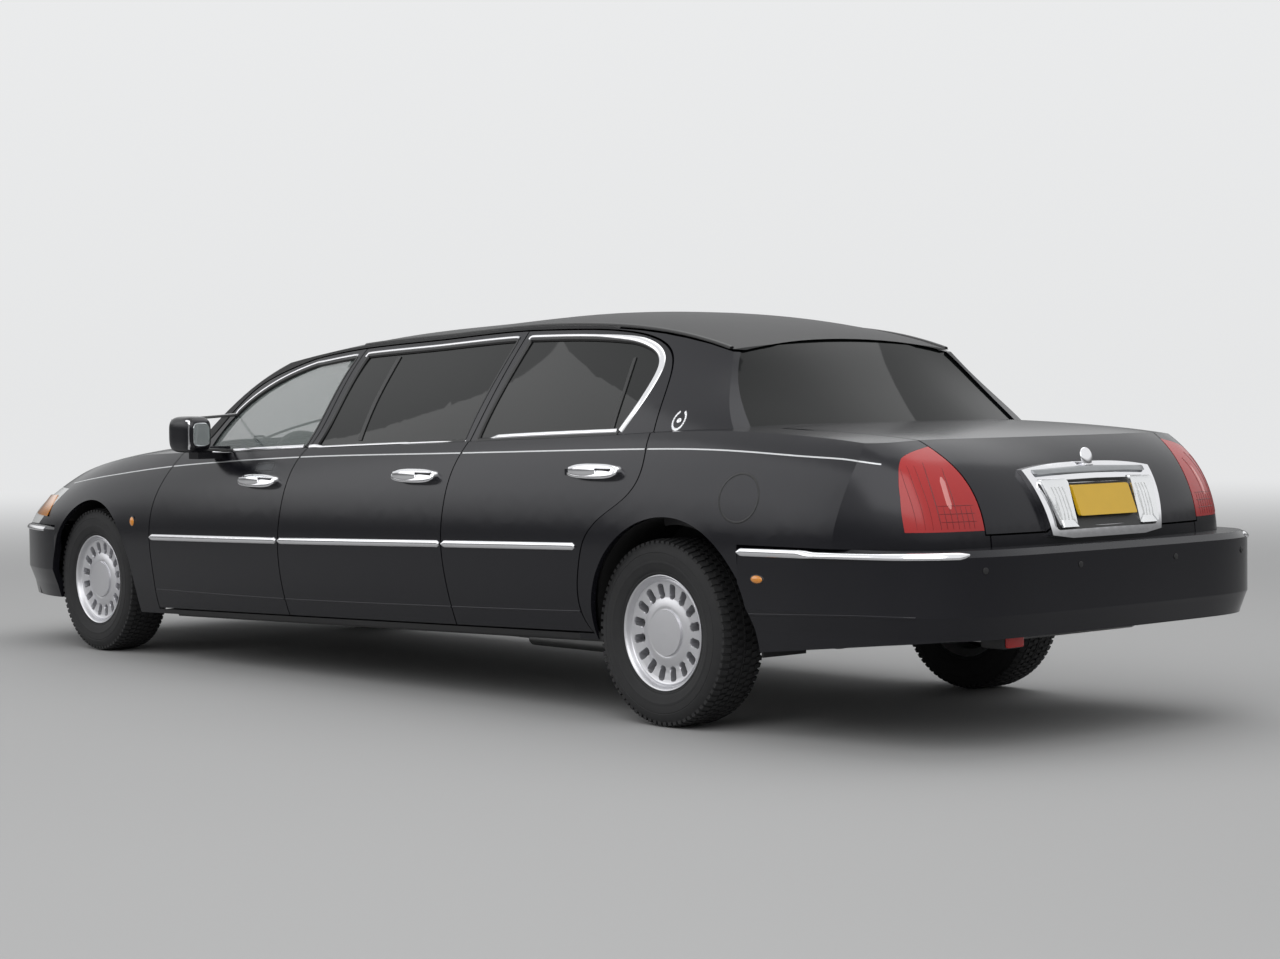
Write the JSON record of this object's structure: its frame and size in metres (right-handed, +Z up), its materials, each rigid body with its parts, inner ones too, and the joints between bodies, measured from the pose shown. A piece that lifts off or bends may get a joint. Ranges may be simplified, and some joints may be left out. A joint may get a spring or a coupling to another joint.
{
  "type": "six-door stretched saloon",
  "caption": "Long black saloon with three doors a side, a padded-look roof, three seat rows, opening boot, bonnet and doors, and steered, turning wheels.",
  "frame": {"origin": "on the ground under the middle of the car's bounding box", "axes": "+X forwards, +Y to the car's left, +Z up"},
  "size_m": [6.663, 2.236, 1.5681],
  "materials": {
    "black_paint": "gloss",
    "roof_paint": "satin",
    "chrome": "polished",
    "alloy": "satin",
    "tyre": "matte",
    "side_glass": "clear",
    "screen_glass": "clear",
    "red_lens": "gloss",
    "clear_lens": "gloss",
    "black_plastic": "matte",
    "underbody": "matte",
    "steel": "satin",
    "cabin_trim": "satin"
  },
  "bodies": {
    "root": {"cabin_frame": "underbody", "floor_pan": "underbody", "firewall": "underbody", "frame_rails": "underbody", "roof": "roof_paint", "fender_left": "black_paint", "fender_right": "black_paint", "quarter_left": "black_paint", "quarter_right": "black_paint", "rear_deck": "black_paint", "rear_panel": "black_paint", "rear_bumper": "black_paint", "front_bumper": "black_paint", "cowl": "black_plastic", "dashboard": "black_plastic", "steering_wheel": "black_plastic", "rear_bulkhead": "black_plastic", "grille": "chrome", "headlamps": "clear_lens", "tail_lamps": "red_lens", "windscreen": "screen_glass", "rear_window": "side_glass", "rear_axle": "steel", "front_suspension": "steel", "propshaft": "steel", "exhaust": "steel", "fuel_tank": "steel", "engine": "steel", "front_seats": "cabin_trim", "middle_seat": "cabin_trim", "rear_seat": "cabin_trim"},
    "hood": {"hood": "black_paint"},
    "trunk": {"trunk_lid": "black_paint", "plate_frame": "chrome"},
    "door_front_left": {"door_front_left": "black_paint", "glass_front_left": "side_glass"},
    "door_front_right": {"door_front_right": "black_paint", "glass_front_right": "side_glass"},
    "door_middle_left": {"door_middle_left": "black_paint", "glass_middle_left": "side_glass"},
    "door_middle_right": {"door_middle_right": "black_paint", "glass_middle_right": "side_glass"},
    "door_rear_left": {"door_rear_left": "black_paint", "glass_rear_left": "side_glass"},
    "door_rear_right": {"door_rear_right": "black_paint", "glass_rear_right": "side_glass"},
    "knuckle_left": {"knuckle_left": "steel"},
    "knuckle_right": {"knuckle_right": "steel"},
    "wheel_rear_left": {"tyre_rear_left": "tyre", "rim_rear_left": "alloy"},
    "wheel_rear_right": {"tyre_rear_right": "tyre", "rim_rear_right": "alloy"},
    "wheel_front_left": {"tyre_front_left": "tyre", "rim_front_left": "alloy"},
    "wheel_front_right": {"tyre_front_right": "tyre", "rim_front_right": "alloy"}
  },
  "joints": [
    {"name": "door_front_left_hinge", "type": "hinge", "parent": "root", "child": "door_front_left", "pos_m": [1.6545, 1.002, 0.6], "axis": [0, 0, -1], "range_deg": [0, 65]},
    {"name": "door_front_right_hinge", "type": "hinge", "parent": "root", "child": "door_front_right", "pos_m": [1.6545, -1.002, 0.6], "axis": [0, 0, 1], "range_deg": [0, 65]},
    {"name": "door_middle_left_hinge", "type": "hinge", "parent": "root", "child": "door_middle_left", "pos_m": [0.5465, 1.002, 0.6], "axis": [0, 0, -1], "range_deg": [0, 65]},
    {"name": "door_middle_right_hinge", "type": "hinge", "parent": "root", "child": "door_middle_right", "pos_m": [0.5465, -1.002, 0.6], "axis": [0, 0, 1], "range_deg": [0, 65]},
    {"name": "door_rear_left_hinge", "type": "hinge", "parent": "root", "child": "door_rear_left", "pos_m": [-0.6415, 1.002, 0.6], "axis": [0, 0, -1], "range_deg": [0, 65]},
    {"name": "door_rear_right_hinge", "type": "hinge", "parent": "root", "child": "door_rear_right", "pos_m": [-0.6415, -1.002, 0.6], "axis": [0, 0, 1], "range_deg": [0, 65]},
    {"name": "hood_hinge", "type": "hinge", "parent": "root", "child": "hood", "pos_m": [1.6925, 0, 1.033], "axis": [0, -1, 0], "range_deg": [0, 55]},
    {"name": "trunk_hinge", "type": "hinge", "parent": "root", "child": "trunk", "pos_m": [-2.3535, 0, 1.116], "axis": [0, 1, 0], "range_deg": [0, 75]},
    {"name": "steer_left", "type": "hinge", "parent": "root", "child": "knuckle_left", "pos_m": [2.2825, 0.745, 0.348], "axis": [0, 0, 1], "range_deg": [-33, 33]},
    {"name": "steer_right", "type": "hinge", "parent": "root", "child": "knuckle_right", "pos_m": [2.2825, -0.745, 0.348], "axis": [0, 0, 1], "range_deg": [-33, 33]},
    {"name": "wheel_rear_left_spin", "type": "hinge", "parent": "root", "child": "wheel_rear_left", "pos_m": [-1.9015, 0.83, 0.348], "axis": [0, 1, 0], "continuous": true},
    {"name": "wheel_rear_right_spin", "type": "hinge", "parent": "root", "child": "wheel_rear_right", "pos_m": [-1.9015, -0.83, 0.348], "axis": [0, 1, 0], "continuous": true},
    {"name": "wheel_front_left_spin", "type": "hinge", "parent": "knuckle_left", "child": "wheel_front_left", "pos_m": [2.2825, 0.805, 0.348], "axis": [0, 1, 0], "continuous": true},
    {"name": "wheel_front_right_spin", "type": "hinge", "parent": "knuckle_right", "child": "wheel_front_right", "pos_m": [2.2825, -0.805, 0.348], "axis": [0, 1, 0], "continuous": true}
  ],
  "couplings": [
    {"joint": "steer_right", "follows": "steer_left", "ratio": 1}
  ]
}
